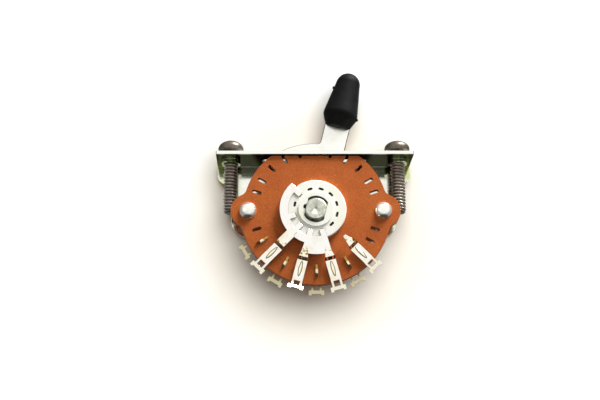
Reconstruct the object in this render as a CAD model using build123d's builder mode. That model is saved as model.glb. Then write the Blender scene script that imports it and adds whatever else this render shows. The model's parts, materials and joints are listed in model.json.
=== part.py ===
from build123d import *
import os
from math import cos, radians, sin

os.makedirs("parts", exist_ok=True)

# Five-way lever switch for choosing guitar pickups, in millimetres.
# The origin is the middle of the mounting plate's top face, halfway between the two panel screws.
# X runs to the right along the plate, Y away from the contact side, and Z up along the lever.

# Shaft, a quarter inch rod with two flats
shaft_radius = 3.175
shaft_flats = 4.76
shaft_end_chamfer = 0.78
shaft_dimple_radius = 0.45
shaft_dimple_depth = 0.35
shaft_proud = 0.65
key_clearance = 0.02
running_clearance = 0.04

# Shaft axis below the top of the plate, the click of the lever and how far it leans now
axis_drop = 14.95
click_angle = 15.0
lever_play = 0.7
lever_lean = click_angle - lever_play
positions = 5

# Rotor, two plastic discs that clamp the wafer's round hole between them
disc_radius = 7.3
disc_thickness = 1.05
disc_edge = 0.15
disc_gap = 0.05
hub_radius = 4.2
hub_height = 0.3
rotor_slots = 12
rotor_slot_radius = 5.2
rotor_slot_length = 1.3
rotor_slot_width = 0.6
rotor_slot_depth = 0.95
rotor_bore_radius = 3.3
rotor_bore_clearance = 0.05
index_notch_radius = 0.7

# Contact rings, stamped from silver-plated brass, one on each rotor disc
ring_thickness = 0.25
ring_outer_radius = 8.7
ring_notch_radius = 6.65
tooth_width = 1.4
tooth_pitch = 30.0
tongue_radius = 11.1
tongue_sweep = 20.0
front_first_tooth = 150.0
front_tongue_angle = 285.0
back_first_tooth = 240.0
back_tongue_angle = 240.0
tab_length = 1.1
tab_thickness = 0.3
tab_depth = 0.7

# Fibre wafer that carries the contacts
wafer_setback = 0.55
wafer_thickness = 1.6
wafer_reach = 7.05
wafer_step = 0.7
wafer_lower_radius = tongue_radius + wafer_reach
wafer_upper_radius = wafer_lower_radius - wafer_step
wafer_top_gap = 0.3
wafer_top_corner = 1.2
wafer_lobe_radius = 4.15
wafer_fillet = 2.0
rotor_hole_radius = 6.0

# Radial slots punched through the wafer for the contacts' tabs
wafer_slot_inset = 3.3
wafer_slot_radius = wafer_lower_radius - wafer_slot_inset
wafer_slot_length = 2.3
wafer_slot_width = 0.8
wafer_slot_pitch = 15.0
wafer_slots_in_group = 9
end_slot_angle = 18.0

# Rivets and spacer tubes that hold the wafer in front of the back plate
rivet_inset = 1.85
rivet_spacing = 2 * (wafer_lower_radius - rivet_inset)
rivet_radius = 1.2
rivet_head_radius = 2.05
rivet_head_height = 1.3
rivet_tail_radius = 1.9
rivet_tail_height = 0.6
rivet_clearance = 0.03
spacer_radius = 2.3

# Panel screws, size 6 with 32 threads to the inch, close outside the spacers, and their collars
screw_radius = 1.75
screw_gap = 0.2875
screw_spacing = rivet_spacing + 2 * (spacer_radius + screw_gap + screw_radius)
screw_length = 15.9
screw_standoff = 1.6
screw_tip_chamfer = 0.5
head_radius = 3.15
head_height = 2.7
head_rim = 0.7
recess_width = 0.9
recess_length = 3.4
recess_depth = 1.4
collar_radius = 2.35
collar_height = 1.0
thread_clearance = 0.02

# Folded steel frame: the mounting plate on top and the back plate that hangs from it
sheet = 0.85
plate_end = 3.5
plate_width = screw_spacing + 2 * plate_end
plate_depth = 11.1
plate_corner = 0.5
fold_radius = 0.8
ear_drop = 5.6
ear_corner = 2.5
back_lobe_radius = 4.3
back_skirt_radius = 15.0
back_fillet = 3.0
ear_fillet = 0.8

# Lever slot in the mounting plate
slot_length = 25.8
slot_width = 2.3

# Spring contacts with solder lugs
contact_thickness = 0.35
contact_half_width = 1.25
long_nose_length = 1.1
long_nose_half_width = 0.8
short_nose_half_width = 0.35
short_nose_root = 0.2
contact_pitch = 30.0
wiping_gap = 0.03
short_wipe = 1.75
long_wipe = 1.4
short_tip_radius = tongue_radius - short_wipe
long_tip_radius = ring_outer_radius - long_wipe
finger_half_width = 1.05
long_finger_half_width = 1.15
step_length = 0.7
step_inset = 2.05
step_outer_radius = wafer_slot_radius - step_inset
step_inner_radius = step_outer_radius - step_length
body_end_inset = 1.05
body_end_radius = wafer_lower_radius - body_end_inset
body_rise = 0.4
body_slope = 0.7
lug_start_radius = body_end_radius + body_slope
lug_overhang = 2.25
lug_end_radius = wafer_lower_radius + lug_overhang
lug_bar_length = 1.2
lug_bar_radius = lug_end_radius - lug_bar_length
lug_half_width = 1.85
lug_horn = 0.7
lug_hole_half_width = 0.75
lug_end_recess = 0.35
contact_slit_length = 3.4
contact_slit_width = 0.6
window_width = 0.45
window_beside = 0.7
slit_shift = 0.1
contact_tab_thickness = 0.25
contact_tab_clearance = 0.04
clinch_length = 3.1
clinch_width = 0.5
clinch_height = 0.45
bent_lug_tilt = 35.0

# Lever, stamped steel: blade, stop fan on one side and the notched index edge below
lever_thickness = 1.4
lever_width = 6.3
lever_shoulder = 23.7
lever_tang_width = 4.6
lever_tang_end = 33.0
lever_fillet = 0.9
fan_radius = 18.45
fan_sweep = 45.0
index_radius = 8.5
notch_radius = 0.9
notch_depth = 0.55

# Moulded tip on the lever
tip_bottom = 23.3
tip_mouth_radius = 3.0
tip_mouth_rise = 0.5
tip_belt = 26.7
tip_belt_radius = 4.4
tip_belt_fillet = 0.9
tip_crown_base = 35.3
tip_crown_radius = 3.05
tip_clearance = 0.05

# Bushing, thrust washer and retaining clip on the shaft behind the lever
washer_radius = 4.8
washer_thickness = 0.5
end_play = 0.03
bushing_radius = 5.0
bushing_neck_radius = 4.2
bushing_bead_radius = 4.7
bushing_bead_height = 0.6
clip_radius = 5.2
clip_band = 1.3
clip_thickness = 0.6
clip_groove_radius = 2.5
shaft_tail = 0.8

# Leaf spring that clicks into the index notches
leaf_thickness = 0.3
leaf_width = 3.0
leaf_front = -1.0
leaf_gap = 0.1
leaf_nose_half = 1.5
leaf_drop = 1.35
leaf_root = 11.4
leaf_foot_width = 4.4
leaf_foot_height = 7.0
leaf_free_end = 5.5
leaf_rivet_radius = 0.8
leaf_rivet_head = 1.3
leaf_rivet_head_height = 0.5

# Depths along Y, from the plate's own edges
plate_front = -plate_depth / 2
back_face = plate_depth / 2
back_front = back_face - sheet
wafer_front = plate_front + wafer_setback
wafer_back = wafer_front + wafer_thickness
front_disc_back = wafer_front - disc_gap
front_disc_face = front_disc_back - disc_thickness
back_disc_front = wafer_back + disc_gap
back_disc_face = back_disc_front + disc_thickness
shaft_front = front_disc_face - shaft_proud
lever_y = 0.0
lever_front = lever_y - lever_thickness / 2
lever_back = lever_y + lever_thickness / 2
washer_back = lever_back + washer_thickness
bushing_front = washer_back + end_play
bushing_back = back_face + bushing_bead_height
clip_front = bushing_back + end_play
clip_back = clip_front + clip_thickness

# Places across the plate and up from the shaft axis
axis_z = -axis_drop
screw_x = screw_spacing / 2
rivet_x = rivet_spacing / 2
wafer_top = axis_drop - sheet - wafer_top_gap
contact_lift = disc_gap + disc_thickness + ring_thickness + wiping_gap
half_flats = shaft_flats / 2


def front_plane(depth, lean=0.0):
    """Plane at a depth, seen from the contact side, with its origin on the shaft axis."""
    across = (cos(radians(lean)), 0, -sin(radians(lean)))
    return Plane(origin=(0, depth, axis_z), x_dir=across, z_dir=(0, -1, 0))


def spoke(angle, along, beside=0.0):
    """Point at a distance along a spoke from the shaft axis, and beside it."""
    turn = radians(angle)
    return (along * cos(turn) - beside * sin(turn), along * sin(turn) + beside * cos(turn))


def side_plane():
    """Plane through the shaft axis for turned pieces, with x along the shaft and y outwards."""
    return Plane(origin=(0, 0, axis_z), x_dir=(0, 1, 0), z_dir=(1, 0, 0))


def punched_slot(length, width, mode=Mode.ADD):
    """Slot along x with its corners cut off, as a small punch leaves it."""
    end, side, corner = length / 2, width / 2, 0.3 * min(length, width)
    quarter = [(end, side - corner), (end - corner, side)]
    half = quarter + [(-x, y) for x, y in reversed(quarter)]
    Polygon(*half, *[(-x, -y) for x, y in half], align=None, mode=mode)


shaft_line = Axis((0, 0, axis_z), (0, 1, 0))


def save(part, name):
    """Label a finished piece and write its file."""
    part.label = name
    export_step(part, f"parts/{name}.step")


# Frame: the fold, the ears, the back plate and the threaded collars
with BuildPart() as frame_bracket:
    with BuildSketch(Plane.YZ) as fold:
        with BuildLine():
            Polyline(
                (plate_front, 0), (back_face, 0), (back_face, -ear_drop),
                (back_front, -ear_drop), (back_front, -sheet), (plate_front, -sheet), close=True,
            )
        make_face()
        fillet(fold.vertices().group_by(Axis.Y)[-1].sort_by(Axis.X)[-1],
               fold_radius + sheet)
        fillet(fold.vertices().group_by(Axis.Y)[1].sort_by(Axis.X)[-1], fold_radius)
    extrude(amount=plate_width / 2, both=True)
    fillet(frame_bracket.edges().filter_by(Axis.Y).group_by(Axis.Z)[0], ear_corner)
    fillet(frame_bracket.edges().filter_by(Axis.Z).group_by(Axis.Y)[0], plate_corner)
    back_top = axis_drop - sheet - fold_radius
    with BuildSketch(front_plane(back_face)) as back_outline:
        Circle(back_skirt_radius)
        Rectangle(2 * back_skirt_radius, back_skirt_radius, align=(Align.CENTER, Align.MIN),
                  mode=Mode.SUBTRACT)
        with Locations((0, back_top / 2)):
            Rectangle(rivet_spacing + 2 * back_lobe_radius, back_top)
        with Locations((-rivet_x, 0), (rivet_x, 0)):
            Circle(back_lobe_radius)
        fillet(back_outline.vertices().group_by(Axis.Y)[0], back_fillet)
    extrude(amount=sheet)
    ear_corners = (
        frame_bracket.edges().filter_by(Axis.Y)
        .filter_by_position(Axis.Z, -ear_drop - 0.1, -ear_drop + 0.1)
        .filter_by_position(Axis.X, -rivet_x - back_lobe_radius - 0.1, rivet_x + back_lobe_radius + 0.1)
    )
    fillet(ear_corners, ear_fillet)
    with BuildSketch(Plane.XY.offset(-sheet)):
        with Locations((-screw_x, 0), (screw_x, 0)):
            Circle(collar_radius)
    extrude(amount=-collar_height)
    with BuildSketch(Plane.XY):
        with Locations((-screw_x, 0), (screw_x, 0)):
            Circle(screw_radius + thread_clearance)
    extrude(amount=-sheet - collar_height, mode=Mode.SUBTRACT)
    with BuildSketch(Plane.XY):
        with Locations((0, lever_y)):
            SlotOverall(slot_length, slot_width)
    extrude(amount=-sheet, mode=Mode.SUBTRACT)
    foot_x = -leaf_root + leaf_foot_width / 2
    foot_holes = [
        (foot_x, -index_radius - leaf_drop + leaf_foot_height * share) for share in (0.3, 0.75)
    ]
    with BuildSketch(front_plane(back_face)):
        Circle(bushing_neck_radius)
        with Locations((-rivet_x, 0), (rivet_x, 0)):
            Circle(rivet_radius + rivet_clearance)
        with Locations(*foot_holes):
            Circle(leaf_rivet_radius)
    extrude(amount=sheet, mode=Mode.SUBTRACT)
save(frame_bracket.part, "frame_bracket")

# Wafer: two arcs of slightly different radius, a lobe round each rivet and a flat top
with BuildPart() as stator_wafer:
    with BuildSketch(front_plane(wafer_back)) as wafer_outline:
        with BuildLine():
            CenterArc((0, 0), wafer_lower_radius, 180, 180)
            Line((wafer_lower_radius, 0), (wafer_upper_radius, 0))
            CenterArc((0, 0), wafer_upper_radius, 0, 180)
            Line((-wafer_upper_radius, 0), (-wafer_lower_radius, 0))
        make_face()
        with Locations((-rivet_x, 0), (rivet_x, 0)):
            Circle(wafer_lobe_radius)
        fillet(wafer_outline.vertices(), wafer_fillet)
        with Locations((0, wafer_top)):
            Rectangle(2 * wafer_lower_radius, wafer_lower_radius, align=(Align.CENTER, Align.MIN),
                      mode=Mode.SUBTRACT)
        fillet(wafer_outline.vertices().group_by(Axis.Y)[-1], wafer_top_corner)
        group_sweep = wafer_slot_pitch * (wafer_slots_in_group - 1)
        for start in (90 - group_sweep / 2, 270 - group_sweep / 2):
            with PolarLocations(wafer_slot_radius, wafer_slots_in_group, start, group_sweep,
                                endpoint=True):
                punched_slot(wafer_slot_length, wafer_slot_width, Mode.SUBTRACT)
        for middle in (0, 180):
            with PolarLocations(wafer_slot_radius, 2, middle - end_slot_angle, 2 * end_slot_angle,
                                endpoint=True):
                punched_slot(wafer_slot_length, wafer_slot_width, Mode.SUBTRACT)
        Circle(rotor_hole_radius, mode=Mode.SUBTRACT)
        with Locations((-rivet_x, 0), (rivet_x, 0)):
            Circle(rivet_radius + rivet_clearance, mode=Mode.SUBTRACT)
    extrude(amount=wafer_thickness)
save(stator_wafer.part, "stator_wafer")

# Spacer tubes and rivets, one at each lobe
for side, x in (("left", -rivet_x), ("right", rivet_x)):
    post_plane = front_plane(back_front)
    post_plane.origin += Vector(x, 0, 0)
    with BuildPart() as spacer:
        with BuildSketch(post_plane):
            Circle(spacer_radius)
            Circle(rivet_radius + rivet_clearance, mode=Mode.SUBTRACT)
        extrude(amount=back_front - wafer_back)
    save(spacer.part, f"spacer_{side}")

    with BuildPart() as wafer_rivet:
        with BuildSketch(Plane(origin=(x, 0, axis_z), x_dir=(0, 1, 0), z_dir=(1, 0, 0))):
            with BuildLine():
                head_rim_edge = (wafer_front, rivet_head_radius)
                head_top = (wafer_front - rivet_head_height, 0)
                Polyline(
                    head_top, (back_face + rivet_tail_height, 0),
                    (back_face + rivet_tail_height, rivet_radius), (back_face, rivet_tail_radius),
                    (back_face, rivet_radius), (wafer_front, rivet_radius), head_rim_edge,
                )
                TangentArc(head_top, head_rim_edge, tangent=(0, 1))
            make_face()
        revolve(axis=Axis((x, 0, axis_z), (0, 1, 0)))
    save(wafer_rivet.part, f"wafer_rivet_{side}")

# Panel screws: round head with a cross recess, plain shank to the thread's outside and a bevelled tip
for side, x in (("left", -screw_x), ("right", screw_x)):
    with BuildPart() as panel_screw:
        with BuildSketch(Plane(origin=(x, 0, screw_standoff), x_dir=(1, 0, 0), z_dir=(0, -1, 0))):
            with BuildLine():
                crown = (0, head_height)
                rim = (head_radius, head_rim)
                Polyline(
                    crown, (0, -screw_length), (screw_radius - screw_tip_chamfer, -screw_length),
                    (screw_radius, -screw_length + screw_tip_chamfer), (screw_radius, 0),
                    (head_radius - head_rim / 2, 0), rim,
                )
                TangentArc(crown, rim, tangent=(1, 0))
            make_face()
        revolve(axis=Axis((x, 0, 0), (0, 0, 1)))
        with BuildSketch(Plane(origin=(x, 0, screw_standoff + head_height))):
            Rectangle(recess_length, recess_width)
            Rectangle(recess_width, recess_length)
        extrude(amount=-recess_depth, taper=12, mode=Mode.SUBTRACT)
    save(panel_screw.part, f"panel_screw_{side}")


def double_d(radius, flats, mode):
    """Round hole or rod section with two flats, the flats upright in its sketch."""
    with BuildSketch(mode=Mode.PRIVATE) as section:
        Circle(radius)
        Rectangle(flats, 2 * radius, mode=Mode.INTERSECT)
    add(section.sketch, mode=mode)


def rotor_slot_ring():
    """Ring of short slots that the contact ring's tabs go into."""
    with PolarLocations(rotor_slot_radius, rotor_slots):
        punched_slot(rotor_slot_width, rotor_slot_length)


bore_flats = shaft_flats + 2 * rotor_bore_clearance

# Front rotor disc, with the journal that turns in the wafer's hole
with BuildPart() as rotor_front_disc:
    with BuildSketch(front_plane(back_disc_front, lever_lean)):
        Circle(rotor_hole_radius - running_clearance)
    extrude(amount=back_disc_front - front_disc_back)
    with BuildSketch(front_plane(front_disc_back, lever_lean)):
        Circle(disc_radius)
    extrude(amount=disc_thickness)
    rim_edges = rotor_front_disc.edges().filter_by(GeomType.CIRCLE).group_by(Axis.Y)[0]
    chamfer(rim_edges, disc_edge)
    with BuildSketch(front_plane(front_disc_face, lever_lean)):
        Circle(hub_radius)
    extrude(amount=hub_height)
    with BuildSketch(front_plane(front_disc_face, lever_lean)):
        rotor_slot_ring()
    extrude(amount=-rotor_slot_depth, mode=Mode.SUBTRACT)
    with BuildSketch(front_plane(front_disc_face - hub_height, lever_lean)):
        double_d(rotor_bore_radius, bore_flats, Mode.ADD)
        with Locations((-bore_flats / 2, 0)):
            Circle(index_notch_radius)
    extrude(amount=-(back_disc_front - front_disc_face + hub_height), mode=Mode.SUBTRACT)
save(rotor_front_disc.part, "rotor_front_disc")

# Back rotor disc, flat against the journal's end
with BuildPart() as rotor_back_disc:
    with BuildSketch(front_plane(back_disc_face, lever_lean)):
        Circle(disc_radius)
    extrude(amount=disc_thickness)
    chamfer(rotor_back_disc.edges().filter_by(GeomType.CIRCLE).group_by(Axis.Y)[-1], disc_edge)
    with BuildSketch(front_plane(back_disc_face, lever_lean)):
        rotor_slot_ring()
    extrude(amount=rotor_slot_depth, mode=Mode.SUBTRACT)
    with BuildSketch(front_plane(back_disc_face, lever_lean)):
        double_d(rotor_bore_radius, bore_flats, Mode.ADD)
    extrude(amount=disc_thickness, mode=Mode.SUBTRACT)
save(rotor_back_disc.part, "rotor_back_disc")


def contact_ring(teeth, tongue_middle, depth, into_disc):
    """Ring sector with inward teeth, one wide tongue and a tab under each tooth.

    teeth are angles with the lever upright, depth is the ring's back face and into_disc
    says which way along the view the tabs go: -1 is away from the viewer.
    """
    reach = 2 * tongue_radius
    first, last = teeth[0], teeth[-1]
    half_tooth = tooth_width / 2
    tongue_start = max(tongue_middle - tongue_sweep, first)
    tongue_end = min(tongue_middle + tongue_sweep, last)
    with BuildPart() as ring:
        with BuildSketch(front_plane(depth, lever_lean)):
            Circle(ring_outer_radius)
            Circle(ring_notch_radius, mode=Mode.SUBTRACT)
            with BuildLine():
                Polyline(
                    spoke(first, 0, -half_tooth), spoke(first, reach, -half_tooth),
                    spoke(first + 40, reach), spoke(last - 40, reach),
                    spoke(last, reach, half_tooth), spoke(last, 0, half_tooth), close=True,
                )
            make_face(mode=Mode.INTERSECT)
        extrude(amount=ring_thickness)
        with BuildSketch(front_plane(depth, lever_lean)):
            Circle(tongue_radius)
            Circle(ring_notch_radius, mode=Mode.SUBTRACT)
            with BuildLine():
                start_beside = -half_tooth if tongue_start == first else 0.0
                end_beside = half_tooth if tongue_end == last else 0.0
                Polyline(
                    spoke(tongue_start, 0, start_beside), spoke(tongue_start, reach, start_beside),
                    spoke(tongue_end, reach, end_beside), spoke(tongue_end, 0, end_beside),
                    close=True,
                )
            make_face(mode=Mode.INTERSECT)
        extrude(amount=ring_thickness)
        tooth_end = rotor_slot_radius - tab_thickness / 2
        tooth_root = (ring_notch_radius + ring_outer_radius) / 2
        with BuildSketch(front_plane(depth, lever_lean)):
            for angle in teeth:
                with Locations(spoke(angle, (tooth_end + tooth_root) / 2)):
                    Rectangle(tooth_root - tooth_end, tooth_width, rotation=angle)
        extrude(amount=ring_thickness)
        tab_start = depth if into_disc < 0 else depth - ring_thickness
        with BuildSketch(front_plane(tab_start, lever_lean)):
            for angle in teeth:
                with Locations(spoke(angle, rotor_slot_radius)):
                    Rectangle(tab_thickness, tab_length, rotation=angle)
        extrude(amount=into_disc * tab_depth)
    return ring.part


def tooth_angles(first, skipped):
    """Teeth one pitch apart from the first, of which the skipped ones are left out."""
    return [first + tooth_pitch * k for k in range(6) if k not in skipped]


front_ring = contact_ring(tooth_angles(front_first_tooth, (1,)), front_tongue_angle,
                          front_disc_face, -1)
save(front_ring, "front_contact_ring")
back_ring = contact_ring(tooth_angles(back_first_tooth, (5,)), back_tongue_angle,
                         back_disc_face + ring_thickness, 1)
save(back_ring, "back_contact_ring")


def spring_contact(angle, front, long_finger=False, lug_tilt=0.0):
    """One contact: solder lug, raised body with its clinched tab, step and wiping finger."""
    out = -1 if front else 1
    seat = wafer_front if front else wafer_back
    radial = (cos(radians(angle)), 0, sin(radians(angle)))
    outward = (0, out, 0)
    sideways = (-out * radial[2], 0, out * radial[0])
    profile_plane = Plane(origin=(0, seat, axis_z), x_dir=radial, z_dir=sideways)
    plan_plane = Plane(origin=(0, seat, axis_z), x_dir=radial, z_dir=outward)
    tip = long_tip_radius if long_finger else short_tip_radius
    bend = wafer_lower_radius
    lug_reach = lug_end_radius - bend
    lug_foot = (bend + lug_reach * cos(radians(lug_tilt)), lug_reach * sin(radians(lug_tilt)))
    line = [
        lug_foot, (bend, 0), (lug_start_radius, 0), (body_end_radius, body_rise),
        (step_outer_radius, body_rise), (step_inner_radius, contact_lift), (tip, contact_lift),
    ]
    above = [(u, w + contact_thickness) for u, w in reversed(line)]
    shrink = cos(radians(lug_tilt))
    bar = bend + (lug_bar_radius - bend) * shrink
    end = lug_foot[0]
    recess = end - lug_end_recess * shrink
    wide = contact_half_width
    if long_finger:
        finger = long_finger_half_width
        finger_nose = [(tip, long_nose_half_width), (tip + long_nose_length, long_nose_half_width),
                       (tip + long_nose_length, finger)]
    else:
        finger = finger_half_width
        finger_nose = [(tip, short_nose_half_width), (step_inner_radius - short_nose_root, finger)]
    half = [
        *finger_nose,
        (step_inner_radius, finger), (step_inner_radius, wide), (bar, wide), (bar, lug_half_width),
        (end, lug_half_width), (end, lug_half_width - lug_horn),
        (recess, lug_half_width - lug_horn),
    ]
    mirrored = [(u, -v) for u, v in reversed(half)]
    with BuildPart() as contact:
        with BuildSketch(profile_plane):
            Polygon(*line, *above, align=None)
        extrude(amount=lug_half_width, both=True)
        with BuildSketch(plan_plane):
            Polygon(*dict.fromkeys(half + mirrored), align=None)
            with Locations(((lug_start_radius + bar) / 2, 0)):
                Rectangle(bar - lug_start_radius, 2 * lug_hole_half_width, mode=Mode.SUBTRACT)
            with Locations((wafer_slot_radius + slit_shift, 0)):
                punched_slot(contact_slit_length, contact_slit_width, Mode.SUBTRACT)
            window = (step_inner_radius + step_outer_radius) / 2
            with Locations((window, -window_beside), (window, window_beside)):
                Rectangle(step_outer_radius - step_inner_radius, window_width, mode=Mode.SUBTRACT)
        extrude(amount=3 * contact_lift, mode=Mode.INTERSECT)
        tab_edge = wafer_slot_width / 2 - contact_tab_clearance
        with BuildSketch(plan_plane.offset(body_rise + contact_thickness / 2)):
            with Locations((wafer_slot_radius, -tab_edge)):
                Rectangle(wafer_slot_length - wafer_slot_width, contact_tab_thickness,
                          align=(Align.CENTER, Align.MIN))
        extrude(amount=-(wafer_thickness + body_rise + contact_thickness / 2))
        with BuildSketch(plan_plane.offset(-wafer_thickness)):
            with Locations((wafer_slot_radius, 0)):
                punched_slot(clinch_length, clinch_width)
        extrude(amount=-clinch_height)
    return contact.part


# Front contacts from the common one on the left, and back contacts from the common one on the right
front_common_angle = 225.0
back_common_angle = 300.0
save(spring_contact(front_common_angle, True, long_finger=True), "front_common_contact")
save(spring_contact(back_common_angle, False, long_finger=True), "back_common_contact")
for number in (1, 2, 3):
    front_angle = front_common_angle + contact_pitch * number
    tilt = bent_lug_tilt if number == 1 else 0.0
    save(spring_contact(front_angle, True, lug_tilt=tilt), f"front_contact_{number}")
    back_angle = back_common_angle - contact_pitch * number
    save(spring_contact(back_angle, False), f"back_contact_{number}")

# Shaft: chamfered front end with a centre dimple, flats as far as the lever, a groove for the clip
with BuildPart() as switch_shaft:
    with BuildSketch(side_plane()):
        with BuildLine():
            Polyline(
                (shaft_front + shaft_dimple_depth, 0), (shaft_front, shaft_dimple_radius),
                (shaft_front, shaft_radius - shaft_end_chamfer),
                (shaft_front + shaft_end_chamfer, shaft_radius), (clip_front - end_play / 2, shaft_radius),
                (clip_front - end_play / 2, clip_groove_radius),
                (clip_back + end_play / 2, clip_groove_radius), (clip_back + end_play / 2, shaft_radius),
                (clip_back + shaft_tail, shaft_radius), (clip_back + shaft_tail, 0), close=True,
            )
        make_face()
    revolve(axis=shaft_line)
    with BuildSketch(front_plane(lever_back, lever_lean)):
        Circle(2 * shaft_radius)
        Rectangle(shaft_flats, 4 * shaft_radius, mode=Mode.SUBTRACT)
    extrude(amount=lever_back - shaft_front, mode=Mode.SUBTRACT)
save(switch_shaft.part, "switch_shaft")

# Lever: hub with index notches, blade, tang and the fan that closes the slot beside the blade
with BuildPart() as lever:
    with BuildSketch(front_plane(lever_back, lever_lean)) as lever_outline:
        Circle(fan_radius)
        with BuildLine():
            Polyline(
                (0, 0), (0, 2 * fan_radius), spoke(90 + fan_sweep / 2, 2 * fan_radius),
                spoke(90 + fan_sweep, 2 * fan_radius), close=True,
            )
        make_face(mode=Mode.INTERSECT)
        Rectangle(lever_width, lever_shoulder, align=(Align.CENTER, Align.MIN))
        fan_corner = lever_outline.vertices().filter_by_position(Axis.X, -lever_width / 2 - 0.01,
                                                                 -lever_width / 2 + 0.01)
        fillet(fan_corner.filter_by_position(Axis.Y, 0.9 * fan_radius, fan_radius), lever_fillet)
        Rectangle(lever_tang_width, lever_tang_end, align=(Align.CENTER, Align.MIN))
        Circle(index_radius)
        first_notch = 270 - click_angle * (positions - 1) / 2
        with PolarLocations(index_radius + notch_radius - notch_depth, positions, first_notch,
                            click_angle * (positions - 1), endpoint=True):
            Circle(notch_radius, mode=Mode.SUBTRACT)
        double_d(shaft_radius + key_clearance, shaft_flats + 2 * key_clearance, Mode.SUBTRACT)
    extrude(amount=lever_thickness)
save(lever.part, "lever")

# Tip: turned barrel form with a slot for the lever's tang
lever_plane = front_plane(lever_y, lever_lean)
with BuildPart() as lever_tip:
    with BuildSketch(lever_plane) as tip_half:
        with BuildLine():
            mouth_flat = (tip_mouth_radius - tip_mouth_rise, tip_bottom)
            mouth = (tip_mouth_radius, tip_bottom + tip_mouth_rise)
            belt = (tip_belt_radius, tip_belt)
            crown = (tip_crown_radius, tip_crown_base)
            top = (0, tip_crown_base + tip_crown_radius)
            Polyline((0, tip_bottom), mouth_flat, mouth, belt, crown)
            RadiusArc(crown, top, -tip_crown_radius)
            Line(top, (0, tip_bottom))
        make_face()
        fillet(tip_half.vertices().sort_by(Axis.X)[-1], tip_belt_fillet)
    revolve(axis=Axis(lever_plane.origin, lever_plane.y_dir))
    slot_depth = lever_thickness / 2 + tip_clearance
    with BuildSketch(lever_plane):
        Rectangle(lever_tang_width + 2 * tip_clearance, lever_tang_end + tip_clearance,
                  align=(Align.CENTER, Align.MIN))
        Rectangle(lever_width + 2 * tip_clearance, lever_shoulder + tip_clearance,
                  align=(Align.CENTER, Align.MIN))
    extrude(amount=slot_depth, both=True, mode=Mode.SUBTRACT)
save(lever_tip.part, "lever_tip")

# Thrust washer between the lever and the bushing
with BuildPart() as thrust_washer:
    with BuildSketch(front_plane(washer_back)):
        Circle(washer_radius)
        Circle(shaft_radius + key_clearance, mode=Mode.SUBTRACT)
    extrude(amount=washer_thickness)
save(thrust_washer.part, "thrust_washer")

# Bushing, riveted over behind the back plate
with BuildPart() as shaft_bushing:
    with BuildSketch(side_plane()):
        with BuildLine():
            bore = shaft_radius + running_clearance
            Polyline(
                (bushing_front, bore), (bushing_front, bushing_radius), (back_front, bushing_radius),
                (back_front, bushing_neck_radius), (back_face, bushing_neck_radius),
                (back_face, bushing_bead_radius), (bushing_back, bushing_neck_radius),
                (bushing_back, bore), close=True,
            )
        make_face()
    revolve(axis=shaft_line)
save(shaft_bushing.part, "shaft_bushing")

# Retaining clip: an open ring with three prongs in the shaft's groove
with BuildPart() as retaining_clip:
    with BuildSketch(front_plane(clip_back)):
        Circle(clip_radius)
        Circle(clip_radius - clip_band, mode=Mode.SUBTRACT)
        with PolarLocations((clip_radius + clip_groove_radius) / 2, 3, 90):
            Rectangle(clip_radius - clip_groove_radius - 0.6, 1.6)
        Circle(clip_groove_radius + key_clearance, mode=Mode.SUBTRACT)
        Rectangle(2 * clip_groove_radius, clip_radius, align=(Align.CENTER, Align.MAX),
                  mode=Mode.SUBTRACT)
    extrude(amount=clip_thickness)
save(retaining_clip.part, "retaining_clip")

# Leaf spring: nose in the notch under the shaft, and a foot riveted to the back plate
nose_top = -(index_radius - notch_depth + leaf_gap) - leaf_thickness / 2
leaf_level = -index_radius - leaf_drop
with BuildPart() as detent_spring:
    with BuildSketch(front_plane(leaf_front + leaf_width)) as leaf:
        with BuildLine():
            FilletPolyline(
                (-leaf_root, leaf_level), (-leaf_nose_half, leaf_level + leaf_thickness),
                (0, nose_top), (leaf_nose_half, leaf_level + leaf_thickness),
                (leaf_free_end, leaf_level), radius=0.5,
            )
        trace(line_width=leaf_thickness)
    extrude(amount=leaf_width)
    foot_bottom = leaf_level - leaf_thickness / 2
    with BuildSketch(front_plane(back_front)):
        with Locations((foot_x, foot_bottom)):
            Rectangle(leaf_foot_width, leaf_foot_height, align=(Align.CENTER, Align.MIN))
        with Locations(*foot_holes):
            Circle(leaf_rivet_radius, mode=Mode.SUBTRACT)
    extrude(amount=leaf_thickness)
    with BuildSketch(front_plane(back_front)):
        with Locations((foot_x, foot_bottom)):
            Rectangle(leaf_foot_width, leaf_thickness, align=(Align.CENTER, Align.MIN))
    extrude(amount=back_front - leaf_front)
save(detent_spring.part, "detent_spring")

# Two small rivets through the spring's foot
for name, (x, up) in zip(("lower", "upper"), foot_holes):
    with BuildPart() as spring_rivet:
        with BuildSketch(Plane(origin=(x, 0, axis_z + up), x_dir=(0, 1, 0), z_dir=(1, 0, 0))):
            with BuildLine():
                front = back_front - leaf_thickness
                Polyline(
                    (front - leaf_rivet_head_height, 0), (back_face + leaf_rivet_head_height, 0),
                    (back_face, leaf_rivet_head), (back_face, leaf_rivet_radius),
                    (front, leaf_rivet_radius), (front, leaf_rivet_head), close=True,
                )
            make_face()
        revolve(axis=Axis((x, 0, axis_z + up), (0, 1, 0)))
    save(spring_rivet.part, f"spring_rivet_{name}")
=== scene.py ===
"""Looks of a five-way lever switch: its finishes, detailed pieces, stage, light and camera."""

import json
import logging
import math
from dataclasses import dataclass
from enum import Enum
from typing import Any, ClassVar, Iterable, Optional, Sequence

import bmesh
import bpy
from bmesh.types import BMesh
from bpy.types import Material, Mesh, Node, NodeSocket, NodeTree, Object
from mathutils import Matrix, Vector


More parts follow.
